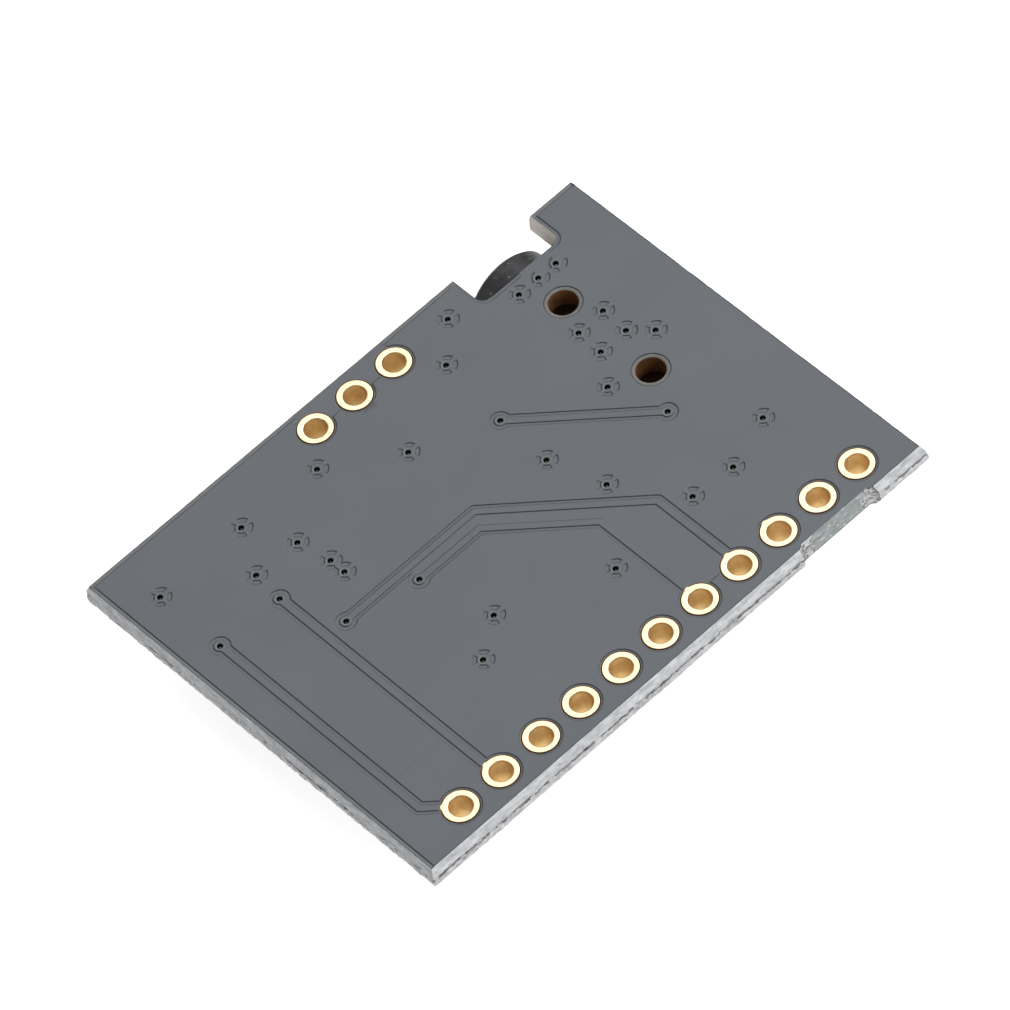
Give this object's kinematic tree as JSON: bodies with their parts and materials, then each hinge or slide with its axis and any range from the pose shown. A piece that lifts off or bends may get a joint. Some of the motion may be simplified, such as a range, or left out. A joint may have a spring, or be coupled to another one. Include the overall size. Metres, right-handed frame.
{
  "type": "audio dac board",
  "caption": "Small digital-to-analogue audio converter board with a 3.5 mm jack, a pin header row and a line output row.",
  "frame": {"origin": "centre of the sixth of the eleven header holes, on the bare back face", "axes": "+X along the header row, +Y across the board to the jack edge, +Z out of the bare back face"},
  "size_m": [0.0318, 0.0244, 0.006],
  "materials": {
    "solder_mask": "satin grey solder mask over glass laminate",
    "gold_plating": "bright gold plating",
    "jack_plastic": "black moulded plastic",
    "contact_metal": "tinned spring strip",
    "chip_epoxy": "matt moulded epoxy",
    "tinned_lead": "matt tin",
    "capacitor_epoxy": "black moulded epoxy",
    "capacitor_ceramic": "tan fired ceramic",
    "tinned_cap": "matt tin",
    "resistor_ceramic": "white alumina",
    "resistor_glaze": "black glaze",
    "ferrite": "dark fired ferrite",
    "solder": "bright solder"
  },
  "bodies": {
    "root": {"circuit_board": "solder_mask", "header_row_plating": "gold_plating", "output_row_plating": "gold_plating", "jack_housing": "jack_plastic", "jack_sleeve_contact": "contact_metal", "jack_ring_contact": "contact_metal", "jack_tip_contact": "contact_metal", "jack_switch_contact": "contact_metal", "converter_body": "chip_epoxy", "regulator_body": "chip_epoxy", "converter_leads": "tinned_lead", "regulator_leads": "tinned_lead", "output_capacitor_bodies": "capacitor_epoxy", "supply_capacitor_body": "capacitor_epoxy", "output_capacitor_terminals": "tinned_lead", "supply_capacitor_terminals": "tinned_lead", "ceramic_capacitor_bodies": "capacitor_ceramic", "ceramic_capacitor_caps": "tinned_cap", "resistor_cores": "resistor_ceramic", "resistor_glazes": "resistor_glaze", "resistor_caps": "tinned_cap", "ferrite_bead_bodies": "ferrite", "ferrite_bead_caps": "tinned_cap", "solder_joints": "solder"}
  },
  "joints": []
}
